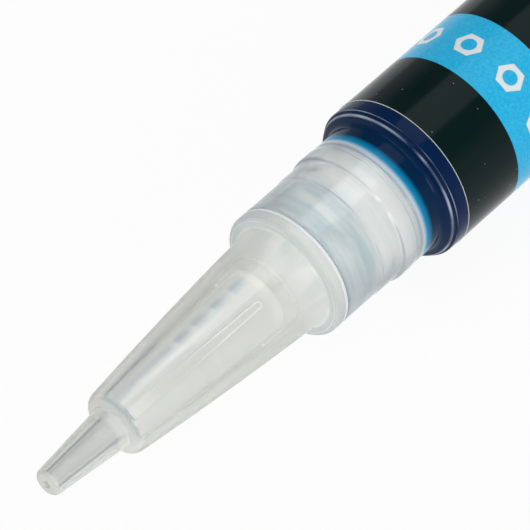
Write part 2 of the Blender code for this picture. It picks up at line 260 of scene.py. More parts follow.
# Where the bottle's finish changes, with depths from the plug's end towards the base
WET_DEPTHS = (-1.0 * MM, -0.4 * MM)
CYAN_DEPTHS = (-0.85 * MM, -0.05 * MM)
NAVY_DEPTHS = (-0.05 * MM, 0.75 * MM)
BAND_DEPTHS = (1.7 * MM, 2.6 * MM)
OVER_SKIRT_HEIGHTS = (SKIRT_END_Z - 0.4 * MM, SKIRT_END_Z + 1.6 * MM)
# Painted shade: dark lines at the neck's steps
STEP_SHADE_LINE = (0.04 * MM, 0.12 * MM)
# Painted highlight lines on the band's and ledge's corners
BAND_HIGHLIGHT = (0.02 * MM, 0.07 * MM)
BAND_HIGHLIGHT_Z = BAND_FRONT_Z - 0.03 * MM
BAND_HIGHLIGHT_RADIUS = BAND_RADIUS - 0.08 * MM
LEDGE_HIGHLIGHT = (0.0, 0.16 * MM)
LEDGE_HIGHLIGHT_Z = LEDGE_FRONT_Z - 0.06 * MM
LEDGE_HIGHLIGHT_RADIUS = LEDGE_RADIUS - 0.2 * MM

# Where the filling's colour changes, with depths from the plug's end towards the base
FILL_CYAN_DEPTHS = (-0.1 * MM, 0.35 * MM)
FILL_NAVY_DEPTHS = (0.3 * MM, 1.1 * MM)

# Where the nozzle's finish changes
MASK_MARGIN = 0.1 * MM
CLEARING_HEIGHTS = (FLANGE_TOP_Z + 0.5 * MM, CORE_REAR_Z + 1.0 * MM)
FLANGE_START_RADIUS = CONE_REAR_RADIUS + 0.3 * MM
FACE_RADII = (CONE_REAR_RADIUS + 0.2 * MM, FLANGE_RADIUS - 0.4 * MM)
FACE_REAR_Z = FLANGE_TOP_Z - 0.3 * MM
# Painted highlight: a faint ring on the flange's face near its corner, and a white line along its seam
RIM_HIGHLIGHT_RADII = (FLANGE_RADIUS - 0.55 * MM, FLANGE_RADIUS - 0.43 * MM)
SEAM_Z = FLANGE_REAR_Z + 0.25 * MM
SEAM_HIGHLIGHT_LINE = (0.12 * MM, 0.2 * MM)
SEAM_RADIUS = FLANGE_RADIUS - 0.3 * MM
FRONT_HEIGHTS = (CONE_TOP_Z - 0.9 * MM, CONE_TOP_Z - 0.1 * MM)
JUNCTION_START_HEIGHTS = (CONE_TOP_Z - 0.25 * MM, CONE_TOP_Z)
JUNCTION_END_HEIGHTS = (CONE_TOP_Z + 0.8 * MM, CONE_TOP_Z + 1.5 * MM)
TIP_HEIGHTS = (CONE_TOP_Z, CONE_TOP_Z + 0.8 * MM)
TIP_END_HEIGHTS = (TIP_Z - 0.45 * MM, TIP_Z - 0.1 * MM)
BORE_HEIGHTS = (CONE_TOP_Z - 0.8 * MM, ORIFICE_REAR_Z - 0.3 * MM)
BORE_SHADE_HEIGHTS = (CONE_TOP_Z, CONE_TOP_Z + 4.0 * MM)
ORIFICE_MARK_RADIUS = ORIFICE_RADIUS + 0.05 * MM

# Where the core's and the fins' colours change
MARKS_TURN = math.radians(10)
MARKS_FADE = (0.05, math.radians(16))
MARKS_REAR_Z = CORE_FIRST_RING_Z - CORE_RING_PITCH
MARKS_REAR_HEIGHTS = (MARKS_REAR_Z, MARKS_REAR_Z + 0.4 * MM)
MARKS_FRONT_HEIGHTS = (CORE_LAST_RING_Z, CORE_LAST_RING_Z + CORE_RING_PITCH)
# Painted highlight: a white streak along the core
CORE_HIGHLIGHT_TURN = math.radians(-8)
CORE_HIGHLIGHT_FADE = (0.03, math.radians(8))
CORE_HIGHLIGHT_HEIGHTS = (CORE_FIRST_RING_Z, CORE_LAST_RING_Z)
CORE_RIM_HEIGHTS = (CORE_REAR_Z + 0.7 * MM, CORE_REAR_Z + 1.9 * MM)
CORE_FRONT_HEIGHTS = (CORE_FRONT_Z - 0.55 * MM, CORE_FRONT_Z - 0.25 * MM)
# Painted highlight along the fins' rims fades out over these heights
FIN_RIM_HEIGHTS = (FIN_REAR_Z + 4.0 * MM, FIN_REAR_Z + 11.0 * MM)
FIN_FACE_HEIGHTS = (FIN_FRONT_Z - 4.5 * MM, FIN_FRONT_Z - 1.0 * MM)
# Painted shade on the fins' flanks darkens to slate over these heights
FIN_SIDE_HEIGHTS = (FIN_FRONT_Z - 10.0 * MM, FIN_FRONT_Z - 5.0 * MM)

# Camera, from the photograph's perspective
PHOTO_SIDE = 530
FOCAL_PIXELS = 6500
CAMERA_AZIMUTH = math.radians(-48.9)
CAMERA_ELEVATION = math.radians(49.6)
CAMERA_DISTANCE = 613.8 * MM
CAMERA_CLIP_START = 0.01
AIM_AHEAD_OF_LABEL = 17.75 * MM
AIM_ASIDE = 1.98 * MM

# Floor
FLOOR_HALF_SIDE = 3.0
FLOOR_GAP = 0.05 * MM
FLOOR_GLOW_SHARE = 0.93
FLOOR_GREY = (0.9, 0.9, 0.9, 1.0)
FLOOR_WHITE = (1.0, 1.0, 1.0, 1.0)

# World
WHITE_WALL_TOP = 0.25
DIM_CEILING_START = 0.55
CEILING_LIGHT = 0.45
FAR_SIDE_LIGHT = 0.6

# Softboxes: name, direction from the tube, width and height, and power
SOFTBOX_DISTANCE = 0.8
SOFTBOXES = (
    ("top_softbox", (0.7, 0.075, 0.7), (0.55, 0.87), 1.9),
    ("key_light", (-0.63, -0.01, 0.77), (1.0, 0.06), 2.0),
    ("side_light", (-0.58, -0.8, 0.25), (0.4, 0.3), 1.5),
)


class Shade:
    """One socket of a node tree, so that shader maths reads as Python expressions."""

    def __init__(self, tree, socket=None):
        self.tree = tree
        self.socket = socket

    def node(self, kind, settings, sockets, output=0):
        """New node with its settings made first, then its sockets set or linked."""
        made = self.tree.nodes.new("ShaderNode" + kind)
        for name, value in settings.items():
            setattr(made, name, value)
        for name, value in sockets.items():
            if isinstance(value, Shade):
                self.tree.links.new(value.socket, made.inputs[name])
            else:
                made.inputs[name].default_value = value
        return Shade(self.tree, made.outputs[output] if made.outputs else None)

    def outputs(self, *names):
        """Other outputs of the node that this socket belongs to."""
        return [Shade(self.tree, self.socket.node.outputs[name]) for name in names]

    def math(self, operation, first, second=0.0):
        """Math node on one or two values."""
        return self.node("Math", {"operation": operation}, {0: first, 1: second})

    def __add__(self, other):
        return self.math("ADD", self, other)

    def __radd__(self, other):
        return self.math("ADD", other, self)

    def __sub__(self, other):
        return self.math("SUBTRACT", self, other)

    def __rsub__(self, other):
        return self.math("SUBTRACT", other, self)

    def __mul__(self, other):
        return self.math("MULTIPLY", self, other)

    def __rmul__(self, other):
        return self.math("MULTIPLY", other, self)

    def __truediv__(self, other):
        return self.math("DIVIDE", self, other)

    def __gt__(self, other):
        return self.math("GREATER_THAN", self, other)

    def __lt__(self, other):
        return self.math("LESS_THAN", self, other)

    def step(self, start, end):
        """0 before start, 1 after end and a soft rise between them."""
        settings = {"interpolation_type": "SMOOTHSTEP"}
        return self.node("MapRange", settings, {"Value": self, "From Min": start, "From Max": end})

    def line(self, middle, near, far):
        """1 within near of the middle, 0 past far of it and a soft fall between them."""
        return 1 - self.math("ABSOLUTE", self - middle).step(near, far)

    def within(self, low, high):
        """1 between two values and 0 outside them."""
        return (self > low) * (self < high)

    def mix(self, first, second):
        """First colour where this value is 0, second where it is 1."""
        return self.node("Mix", {"data_type": "RGBA"}, {0: self, 6: first, 7: second}, output=2)

    def blend(self, first, second):
        """First shader where this value is 0, second where it is 1."""
        return self.node("MixShader", {}, {0: self, 1: first, 2: second})

    def stretched(self, scale):
        """Object coordinate scaled along X, Y and Z, so that noise on it runs long one way."""
        return self.node("Mapping", {}, {"Vector": self, "Scale": scale})

    def noise(self, scale, detail=2.0):
        """Noise in the piece's own space; self is its Object coordinate."""
        return self.node("TexNoise", {}, {"Vector": self, "Scale": scale, "Detail": detail}, output="Fac")


def rgb(red, green, blue):
    """Colour of an sRGB value from 0 to 255, as the linear value that sockets take."""
    def linear(value):
        share = value / 255
        return share / 12.92 if share <= 0.04045 else ((share + 0.055) / 1.055) ** 2.4
    return (linear(red), linear(green), linear(blue), 1.0)


def blank_material(name):
    """New material without nodes, and the start of its node tree."""
    material = bpy.data.materials.new(name)
    material.use_nodes = True
    material.node_tree.nodes.clear()
    return material, Shade(material.node_tree)


def place(start):
    """Object coordinate of a material, and its X, Y and Z apart."""
    here = start.node("TexCoord", {}, {}, output="Object")
    return here, *start.node("SeparateXYZ", {}, {0: here}).outputs("X", "Y", "Z")


def axis_radius(start, y, z):
    """Distance of a point from the tube's axis."""
    above = z - AXIS_Z
    return start.math("SQRT", y * y + above * above)


def ring_marks(here):
    """Fine uneven rings round the tube's axis, as moulding leaves them."""
    return here.stretched(ROUND_THE_TUBE).noise(RINGS_PER_METRE, 3.0)


def clouds(here):
    """Soft drift of colour in natural plastic."""
    return here.noise(CLOUDS_PER_METRE, 3.0)


def slant(start):
    """0 where a face is seen straight on, rising to 1 where it is seen edge on."""
    return start.node("LayerWeight", {}, {"Blend": 0.5}, output="Facing")


def lamps_pass(start, plastic, **volume):
    """Finish a translucent material: most of the lamps' light goes through it."""
    shadow = start.node("LightPath", {}, {}, output="Is Shadow Ray")
    clear = start.node("BsdfTransparent", {}, {})
    shader = (shadow * LIGHT_PASSED).blend(plastic, clear)
    start.node("OutputMaterial", {}, {"Surface": shader, **volume})


def printed(distance, edge):
    """0 before a printed edge and 1 past it."""
    return distance.step(edge - PRINT_BLUR, edge + PRINT_BLUR)


def nut_row(start, along, y, z):
    """Mask of a ring of plain hexagon nuts round the label, centred where along is 0."""
    turn = start.math("ARCTAN2", y, z - AXIS_Z) / (2 * math.pi)
    share = start.math("FRACT", turn * NUTS + NUT_SHIFT) - 0.5
    across = start.math("ABSOLUTE", share) * (2 * math.pi * LABEL_RADIUS / NUTS)
    along = start.math("ABSOLUTE", along)
    slanted = along * math.cos(NUT_CORNER_TURN) + across * math.sin(NUT_CORNER_TURN)
    hexagon = start.math("MAXIMUM", along, slanted)
    from_middle = start.math("SQRT", along * along + across * across)
    return (1 - printed(hexagon, NUT_FLATS / 2)) * printed(from_middle, NUT_HOLE / 2)


def label_film():
    """Glossy printed film: greenish black, one blue stripe with a row of nuts, and a few dust specks."""
    material, start = blank_material("label_film")
    here, x, y, z = place(start)
    behind = x - (BASE_X - LABEL_FRONT_Z)
    stripe = printed(behind, STRIPE_START) * (1 - printed(behind, STRIPE_END))
    grain = here.noise(PRINT_GRAIN_PER_METRE).step(*PRINT_PATCH)
    blue = grain.mix(rgb(40, 184, 236), rgb(58, 197, 245))
    nuts = nut_row(start, behind - (STRIPE_START + STRIPE_END) / 2, y, z)
    blue = nuts.mix(blue, rgb(240, 245, 246))
    black = here.noise(BLACK_PATCHES_PER_METRE).mix(rgb(0, 25, 24), rgb(2, 31, 29))
    colour = stripe.mix(black, blue)
    from_speck = here.node("TexVoronoi", {}, {"Vector": here, "Scale": DUST_PER_METRE}, output="Distance")
    dusty = here.noise(DUSTY_PATCHES_PER_METRE, 1.0) > DUST_SHARE_LIMIT
    dust = (1 - from_speck.step(*DUST_SPECK)) * (1 - stripe) * dusty
    colour = dust.mix(colour, rgb(150, 158, 154))
    edge = 1 - behind.step(*FILM_EDGE)
    colour = edge.mix(colour, rgb(222, 229, 231))
    shader = start.node("BsdfPrincipled", {}, {
        "Base Color": colour,
        "Roughness": 0.1 + 0.1 * here.noise(FILM_GLOSS_PER_METRE, 3.0),
        "IOR": FILM_IOR,
        "Specular IOR Level": 0.11,
    })
    start.node("OutputMaterial", {}, {"Surface": shader})
    return material


def bare_neck(start, here, height, rings, bump):
    """Natural plastic: white at the neck's root, bluish round the nozzle's skirt, with painted shade in dark
    lines at its steps and in grey where its wall is seen edge on.
    """
    pale = rings.step(*SOFT_PATCH).mix(rgb(246, 249, 248), rgb(255, 255, 253))
    patches = here.stretched(WIDE_ROUND_THE_TUBE).noise(NECK_PATCHES_PER_METRE, 3.0)
    mottled = (rings * 0.3 + patches * 0.7).step(*NECK_PATCH)
    bluish = mottled.mix(rgb(206, 220, 227), rgb(247, 250, 248))
    over_skirt = height.step(*OVER_SKIRT_HEIGHTS)
    plain = over_skirt.mix(pale, bluish)
    # Painted shade: dark lines at the neck's steps, broken up by noise
    lines = 0.0
    for step in (LIP_STEP, SNAP_FRONT_STEP, SNAP_REAR_STEP):
        lines = lines + height.line(LIP_Z - step, *STEP_SHADE_LINE)
    broken = here.noise(LINE_BREAKS_PER_METRE).step(*SOFT_PATCH)
    natural = start.node("BsdfPrincipled", {}, {
        "Base Color": (lines * broken * 0.5).mix(plain, rgb(150, 168, 182)),
        "Roughness": 0.1 + 0.1 * rings,
        "IOR": PLASTIC_IOR,
        "Transmission Weight": 0.65,
        "Coat Weight": 0.5,
        "Coat Roughness": 0.06,
        "Normal": bump,
    })
    # Painted shade: grey-blue of the neck's wall where it is seen edge on, darker at its root
    drift = here.noise(NECK_DRIFT_PER_METRE).step(*SOFT_PATCH)
    root_edge_shade = drift.mix(rgb(122, 141, 147), rgb(154, 167, 169))
    skirt_edge_shade = drift.mix(rgb(148, 166, 174), rgb(178, 189, 191))
    wall = start.node("BsdfPrincipled", {}, {
        "Base Color": over_skirt.mix(root_edge_shade, skirt_edge_shade),
        "Roughness": 0.15,
        "IOR": PLASTIC_IOR,
    })
    along_wall = slant(start).step(*NECK_SLANTS)
    return (along_wall * NECK_WALL_SHARE).blend(natural, wall)


def filled_barrel(start, here, height, radius, rings, bump):
    """Plastic coloured by the liquid behind it, with painted highlight lines on the band's and ledge's
    corners.
    """
    depth = PLUG_END_Z - height
    navy = here.noise(NAVY_PATCHES_PER_METRE).mix(rgb(0, 38, 76), rgb(2, 41, 74))
    navy = depth.step(*BAND_DEPTHS).mix(navy, rgb(4, 34, 75))
    cyan = depth.step(*CYAN_DEPTHS).mix(rgb(238, 245, 245), rgb(0, 140, 190))
    blue = depth.step(*NAVY_DEPTHS).mix(cyan, navy)
    # Painted highlight: pale broken lines on the band's and ledge's corners
    band_highlight = height.line(BAND_HIGHLIGHT_Z, *BAND_HIGHLIGHT) * (radius > BAND_HIGHLIGHT_RADIUS)
    ledge_highlight = height.line(LEDGE_HIGHLIGHT_Z, *LEDGE_HIGHLIGHT) * (radius > LEDGE_HIGHLIGHT_RADIUS)
    painted_highlight = (band_highlight * 0.6 + ledge_highlight) * here.noise(HIGHLIGHT_BREAKS_PER_METRE).step(*HIGHLIGHT_BREAK_PATCH)
    return start.node("BsdfPrincipled", {}, {
        "Base Color": (painted_highlight * 0.7).mix(blue, rgb(214, 226, 236)),
        "Roughness": 0.08 + 0.06 * rings,
        "IOR": PLASTIC_IOR,
        "Specular IOR Level": 0.1,
        "Normal": bump,
    })


def bottle_plastic():
    """Natural plastic on the neck; behind the plug's end the liquid colours it cyan and then navy."""
    material, start = blank_material("bottle_plastic")
    here, x, y, z = place(start)
    height = BASE_X - x
    rings = ring_marks(here)
    uneven = {"Height": rings, "Strength": 0.25, "Distance": RING_BUMP}
    bump = start.node("Bump", {}, uneven, output="Normal")
    neck = bare_neck(start, here, height, rings, bump)
    barrel = filled_barrel(start, here, height, axis_radius(start, y, z), rings, bump)
    wet = (PLUG_END_Z - height).step(*WET_DEPTHS)
    lamps_pass(start, wet.blend(neck, barrel))
    return material


def milky_plastic(name, paint, milk, roughness):
    """Natural translucent plastic, part clear and part milky. paint makes its colour from place's values."""
    material, start = blank_material(name)
    here, x, y, z = place(start)
    plastic = start.node("BsdfPrincipled", {}, {
        "Base Color": paint(here, x, y, z),
        "Roughness": roughness + 0.06 * here.noise(GLOSS_PER_METRE),
        "IOR": PLASTIC_IOR,
        "Transmission Weight": 1 - milk,
        "Coat Weight": 0.15,
        "Coat Roughness": 0.08,
    })
    lamps_pass(start, plastic)
    return material


def cloudy(bright, dull):
    """Paint that drifts between two colours."""
    return lambda here, x, y, z: clouds(here).mix(bright, dull)


def nozzle_zones(start, height, radius):
    """Masks of the nozzle's regions."""
    zone = SimpleNamespace()
    zone.rear = 1 - height.step(*CLEARING_HEIGHTS)
    zone.flange = radius > FLANGE_START_RADIUS
    zone.face = radius.step(*FACE_RADII) * (height > FACE_REAR_Z)
    # Painted highlight on the flange's face near its corner and along its seam
    zone.rim = radius.within(*RIM_HIGHLIGHT_RADII) * (height > FLANGE_TOP_Z - MASK_MARGIN)
    zone.seam = height.line(SEAM_Z, *SEAM_HIGHLIGHT_LINE) * (radius > SEAM_RADIUS)
    zone.front = height.step(*FRONT_HEIGHTS)
    zone.behind_tip = height < CONE_TOP_Z + MASK_MARGIN
    zone.junction = height.step(*JUNCTION_START_HEIGHTS) * (1 - height.step(*JUNCTION_END_HEIGHTS))
    zone.tip = height.step(*TIP_HEIGHTS)
    zone.orifice = (height > ORIFICE_REAR_Z - MASK_MARGIN) * (radius < ORIFICE_MARK_RADIUS)
    zone.end = start.math("MAXIMUM", height.step(*TIP_END_HEIGHTS), zone.orifice)
    zone.bore = height.within(*BORE_HEIGHTS) * (radius < TIP_BORE_BASE + MASK_MARGIN)
    zone.bore_shade = height.step(*BORE_SHADE_HEIGHTS)
    return zone


def tip_colour(zone, cloud):
    """Greyer on the cone's front face and towards the tip's end, with painted shade in the orifice."""
    colour = cloud.mix(rgb(244, 245, 241), rgb(238, 239, 235))
    colour = zone.behind_tip.mix(colour, rgb(229, 230, 226))
    colour = zone.end.mix(colour, rgb(218, 219, 214))
    # Painted shade in the orifice
    return zone.orifice.mix(colour, rgb(207, 208, 204))


def milky_colour(here, zone, cloud, solid):
    """Warm on the cone, cool with fine streaks at its rear, and greyish in the tip's bore, where painted
    shade deepens towards the tip's end.
    """
    warm = cloud.mix(rgb(246, 246, 241), rgb(240, 241, 236))
    streaks = here.stretched(ALONG_THE_TUBE).noise(STREAKS_PER_METRE).step(*SOFT_PATCH)
    streaks = streaks * (1 - zone.flange) + cloud * zone.flange
    cool = streaks.mix(rgb(230, 235, 233), rgb(251, 252, 250))
    plain = zone.front.mix(zone.rear.mix(warm, cool), solid)
    plain = (zone.face * (0.1 + 0.6 * cloud)).mix(plain, rgb(196, 209, 211))
    # Painted shade in the tip's bore, deeper towards the tip's end
    inside = zone.bore_shade.mix(rgb(222, 224, 223), rgb(202, 204, 204))
    return zone.bore.mix(plain, inside)


def edge_shade_colour(zone, cloud, solid):
    """Painted shade: grey of a wall that is seen along itself, and slate in the tip's bore."""
    thin = cloud.mix(rgb(214, 215, 209), rgb(206, 208, 203))
    thick = zone.flange.mix(rgb(240, 243, 240), rgb(196, 208, 208))
    plain = zone.front.mix(zone.rear.mix(thin, thick), solid)
    return zone.bore.mix(plain, rgb(74, 97, 124))


def nozzle_plastic():
    """Cloudy plastic: clearest face on, milky where it is thick, grey with painted shade where it is seen
    along its wall and slate in the tip's bore, and white as a painted highlight on its seam and near the
    flange's front corner.
    """
    material, start = blank_material("nozzle_plastic")
    here, x, y, z = place(start)
    cloud = clouds(here)
    zone = nozzle_zones(start, BASE_X - x, axis_radius(start, y, z))
    solid = tip_colour(zone, cloud)
    clear = start.node("BsdfPrincipled", {}, {
        "Base Color": cloud.mix(rgb(250, 250, 248), rgb(246, 247, 245)),
        "Roughness": 0.02 + 0.03 * here.noise(GLOSS_PER_METRE) + 0.16 * zone.tip,
        "IOR": PLASTIC_IOR,
        "Transmission Weight": 1.0,
        "Coat Weight": 0.15,
        "Coat Roughness": 0.08,
    })
    milky = start.node("BsdfPrincipled", {}, {
        "Base Color": milky_colour(here, zone, cloud, solid),
        "Roughness": 0.2,
        "IOR": PLASTIC_IOR,
    })
    # Painted shade: grey where the wall is seen edge on, slate along the tip's bore
    wall = start.node("BsdfPrincipled", {}, {
        "Base Color": edge_shade_colour(zone, cloud, solid),
        "Roughness": 0.2,
        "Specular IOR Level": 0.0,
    })
    white = start.node("BsdfDiffuse", {}, {"Color": rgb(250, 252, 252)})
    milk = 0.15 + 0.45 * zone.rear + 0.18 * zone.front
    milk = milk + 0.35 * zone.junction * (1 - zone.bore) + 0.35 * zone.bore + 0.6 * zone.end
    aslant = slant(start)
    along_wall = aslant.step(*CONE_SLANTS) * (1 - zone.bore) + aslant.step(*BORE_SLANTS) * zone.bore
    wall_share = along_wall * (0.6 - 0.1 * zone.front + 0.25 * zone.bore)
    shader = wall_share.blend(milk.blend(clear, milky), wall)
    # Painted highlight: white on the seam and, fainter, on the flange's face near its corner
    shader = (zone.seam + zone.rim * 0.3).blend(shader, white)
    grey = start.node("VolumeAbsorption", {}, {"Color": NOZZLE_GREY, "Density": NOZZLE_GREY_DENSITY})
    lamps_pass(start, shader, Volume=grey)
    return material


def core_paint(here, x, y, z):
    """Pale core: bluish marks between its rings on one side, a white painted highlight streak beside them, a
    white rear rim and a slate front end.
    """
    height = BASE_X - x
    turn = here.math("ARCTAN2", y, z - AXIS_Z)
    colour = clouds(here).mix(rgb(237, 237, 238), rgb(230, 231, 232))
    # Painted highlight: a white streak along the core beside its marks
    highlight_streak = turn.line(CORE_HIGHLIGHT_TURN, *CORE_HIGHLIGHT_FADE) * height.step(*CORE_HIGHLIGHT_HEIGHTS)
    colour = highlight_streak.mix(colour, rgb(255, 255, 253))
    rear_rim = 1 - height.step(*CORE_RIM_HEIGHTS)
    colour = rear_rim.mix(colour, rgb(250, 250, 247))
    colour = height.step(*CORE_FRONT_HEIGHTS).mix(colour, rgb(146, 160, 178))
    side = turn.line(MARKS_TURN, *MARKS_FADE) * height.step(*MARKS_REAR_HEIGHTS)
    uneven = here.noise(CORE_MARKS_PER_METRE, 1.0) * 0.2
    between = here.math("FRACT", (height - CORE_FIRST_RING_Z) / CORE_RING_PITCH + uneven)
    pooled = between.step(0.0, 0.75)
    ahead = height.step(*MARKS_FRONT_HEIGHTS)
    marks = side * (0.15 + 0.8 * pooled * (1 - ahead) + 0.35 * ahead)
    return marks.mix(colour, rgb(180, 200, 214))


def fin_rim_highlight_paint(here, x, y, z):
    """Painted highlight: white along the fins' rear edges, fading into the core towards the tip."""
    fade = (BASE_X - x).step(*FIN_RIM_HEIGHTS)
    return fade.mix(rgb(255, 255, 255), rgb(230, 230, 230))


def fin_face_paint(here, x, y, z):
    """As the core beside it, and paler towards the tip."""
    pale = clouds(here).mix(rgb(228, 228, 228), rgb(221, 222, 222))
    front = (BASE_X - x).step(*FIN_FACE_HEIGHTS)
    return front.mix(pale, rgb(246, 246, 245))


def fin_side_shade_paint(here, x, y, z):
    """Painted shade: pale grey flanks, and slate on the side towards +Y where they run out towards the tip.
    """
    pale = clouds(here).mix(rgb(216, 218, 213), rgb(207, 210, 206))
    front = (BASE_X - x).step(*FIN_SIDE_HEIGHTS)
    # Painted shade: slate on the flanks' side towards +Y
    return (front * (y > 0.0)).mix(pale, rgb(140, 154, 168))


def blue_filling():
    """Blue liquid: cyan where it meets the plug and navy behind that."""
    material, start = blank_material("blue_filling")
    here, x, y, z = place(start)
    depth = PLUG_END_Z - (BASE_X - x)
    shallow = depth.step(*FILL_CYAN_DEPTHS).mix(rgb(0, 150, 205), rgb(0, 110, 170))
    shader = start.node("BsdfPrincipled", {}, {
        "Base Color": depth.step(*FILL_NAVY_DEPTHS).mix(shallow, rgb(3, 32, 84)),
        "Roughness": 0.2 + 0.1 * here.noise(FILL_PATCHES_PER_METRE),
        "IOR": LIQUID_IOR,
    })
    start.node("OutputMaterial", {}, {"Surface": shader})
    return material


def outline_shape(outline, closed, rim_x=None):
    """Bmesh turned about the tube's axis from (height, radius, rounding) corners."""
    from_x = BASE_X if rim_x is None else rim_x
    shape = bmesh.new()
    corners = [shape.verts.new((from_x - height, 0.0, AXIS_Z + radius)) for height, radius, _ in outline]
    for first, second in zip(corners, corners[1:]):
        shape.edges.new((first, second))
    if closed:
        shape.edges.new((corners[-1], corners[0]))
    roundings = [rounding for _, _, rounding in outline]
    for size in sorted(set(roundings) - {SHARP}):
        chosen = [corner for corner, rounding in zip(corners, roundings) if rounding == size]
        bmesh.ops.bevel(
            shape, geom=chosen, offset=size, offset_type="OFFSET", segments=ROUND_STEPS,
            profile=0.5, affect="VERTICES", clamp_overlap=True, material=-1,
        )
    bmesh.ops.spin(
        shape, geom=shape.verts[:] + shape.edges[:], cent=(0.0, 0.0, AXIS_Z), axis=(1.0, 0.0, 0.0),
        angle=2 * math.pi, steps=TURN_STEPS, use_merge=True,
    )
    bmesh.ops.remove_doubles(shape, verts=shape.verts, dist=MERGE_DISTANCE)
    bmesh.ops.recalc_face_normals(shape, faces=shape.faces)
    return shape


def piece(name, shape, materials, node, body="tube"):
    """Object from a finished bmesh, which stands for a CAD node and rides on its body."""
    mesh = bpy.data.meshes.new(name)
    shape.to_mesh(mesh)
    shape.free()
    mesh.shade_smooth()
    mesh.set_sharp_from_angle(angle=SHARP_ANGLE)
    for material in materials:
        mesh.materials.append(material)
    made = bpy.data.objects.new(name, mesh)
    bpy.context.scene.collection.objects.link(made)
    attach(made, body)
    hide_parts(node)


def make_bottle():
    """Bottle's shell, from the middle of its base inside, out over the lip and back to its base outside."""
    outline = [
        (BASE_WALL, 0.0, SHARP),
        (BASE_WALL, BODY_BORE, WIDE_ROUND),
        (SHOULDER_Z - SHOULDER_INSIDE_RUN, BODY_BORE, WIDE_ROUND),
        (SHOULDER_Z, NECK_BORE, SOFT_ROUND),
        (LIP_Z, NECK_BORE, FINE_ROUND),
        (LIP_Z, LIP_RADIUS, EDGE_ROUND),
        (LIP_Z - (LIP_STEP - LIP_STEP_HALF_RUN), LIP_RADIUS, FINE_ROUND),
        (LIP_Z - (LIP_STEP + LIP_STEP_HALF_RUN), NECK_MID_RADIUS, FINE_ROUND),
        (LIP_Z - (SNAP_FRONT_STEP - SNAP_HALF_RUN), NECK_MID_RADIUS, STEP_ROUND),
        (LIP_Z - (SNAP_FRONT_STEP + SNAP_HALF_RUN), SNAP_RADIUS, STEP_ROUND),
        (LIP_Z - (SNAP_REAR_STEP - SNAP_HALF_RUN), SNAP_RADIUS, STEP_ROUND),
        (LIP_Z - (SNAP_REAR_STEP + SNAP_HALF_RUN), NECK_ROOT_RADIUS, STEP_ROUND),
        (PARTING_Z + PARTING_HALF_WIDTH, NECK_ROOT_RADIUS, SHARP),
        (PARTING_Z, NECK_ROOT_RADIUS - PARTING_DEPTH, SHARP),
        (PARTING_Z - PARTING_HALF_WIDTH, NECK_ROOT_RADIUS, SHARP),
        (SHOULDER_Z, NECK_ROOT_RADIUS, SOFT_ROUND),
        (LEDGE_FRONT_Z, LEDGE_RADIUS, EDGE_ROUND),
        (BAND_FRONT_Z, LEDGE_RADIUS, FINE_ROUND),
        (BAND_FRONT_Z, BAND_RADIUS, BAND_ROUND),
        (LABEL_FRONT_Z, BAND_RADIUS, SHARP),
        (LABEL_FRONT_Z, PANEL_RADIUS, SHARP),
        (LABEL_REAR_Z, PANEL_RADIUS, SHARP),
        (LABEL_REAR_Z, LABEL_RADIUS, FINE_ROUND),
        (0.0, LABEL_RADIUS, BASE_ROUND),
        (0.0, FOOT_RADIUS, INNER_ROUND),
        (PUSH_UP, FOOT_RADIUS - PUSH_UP_RUN, INNER_ROUND),
        (PUSH_UP, 0.0, SHARP),
    ]
    shape = outline_shape(outline, closed=False)
    piece("bottle_shell", shape, [bottle_plastic()], "bottle")


def make_fill():
    """Liquid that fills the bottle up to the plug."""
    side = BODY_BORE + FILL_CONTACT
    neck = NECK_BORE + FILL_CONTACT
    outline = [
        (PLUG_END_Z, 0.0, SHARP),
        (PLUG_END_Z, neck, SHARP),
        (SHOULDER_Z + FILL_CONTACT, neck, SOFT_ROUND),
        (SHOULDER_Z - SHOULDER_INSIDE_RUN, side, WIDE_ROUND),
        (BASE_WALL - FILL_CONTACT, side, WIDE_ROUND),
        (BASE_WALL - FILL_CONTACT, 0.0, SHARP),
    ]
    shape = outline_shape(outline, closed=False)
    piece("blue_fill", shape, [blue_filling()], "threadlocker_fill")


def make_label():
    """Wrap label, whose front edge stands a little proud."""
    inside = LABEL_RADIUS - LABEL_THICKNESS
    outline = [
        (LABEL_FRONT_Z, LABEL_RADIUS + LABEL_LIFT, SHARP),
        (LABEL_FRONT_Z - LABEL_LIFT_RUN, LABEL_RADIUS, SOFT_ROUND),
        (LABEL_REAR_Z, LABEL_RADIUS, SHARP),
        (LABEL_REAR_Z, inside, SHARP),
        (LABEL_FRONT_Z, inside, SHARP),
    ]
    shape = outline_shape(outline, closed=True)
    piece("wrap_label", shape, [label_film()], "label")


def make_plug():
    """Reducer plug with a funnel towards the nozzle."""
    outline = [
        (PLUG_TOP_Z, PLUG_MOUTH, SHARP),
        (PLUG_TOP_Z, PLUG_RADIUS, RIM_ROUND),
        (PLUG_END_Z, PLUG_RADIUS, RIM_ROUND),
        (PLUG_END_Z, PLUG_BORE, FINE_ROUND),
        (PLUG_TOP_Z - PLUG_FUNNEL, PLUG_BORE, EDGE_ROUND),
    ]
    shape = outline_shape(outline, closed=True)
    paint = cloudy(rgb(250, 252, 250), rgb(242, 246, 244))
    plastic = milky_plastic("plug_plastic", paint, milk=0.8, roughness=0.3)
    piece("reducer_plug", shape, [plastic], "neck_plug")


def cone_radius(height):
    """Outer radius of the nozzle's cone, which swells a little between its ends."""
    along = (height - FLANGE_TOP_Z) / CONE_LENGTH
    straight = CONE_REAR_RADIUS + (CONE_FRONT_RADIUS - CONE_REAR_RADIUS) * along
    return straight + CONE_BULGE * 4 * along * (1 - along)


def cone_inside(height):
    """Inner radius of the nozzle's cone."""
    return cone_radius(height) - NOZZLE_WALL


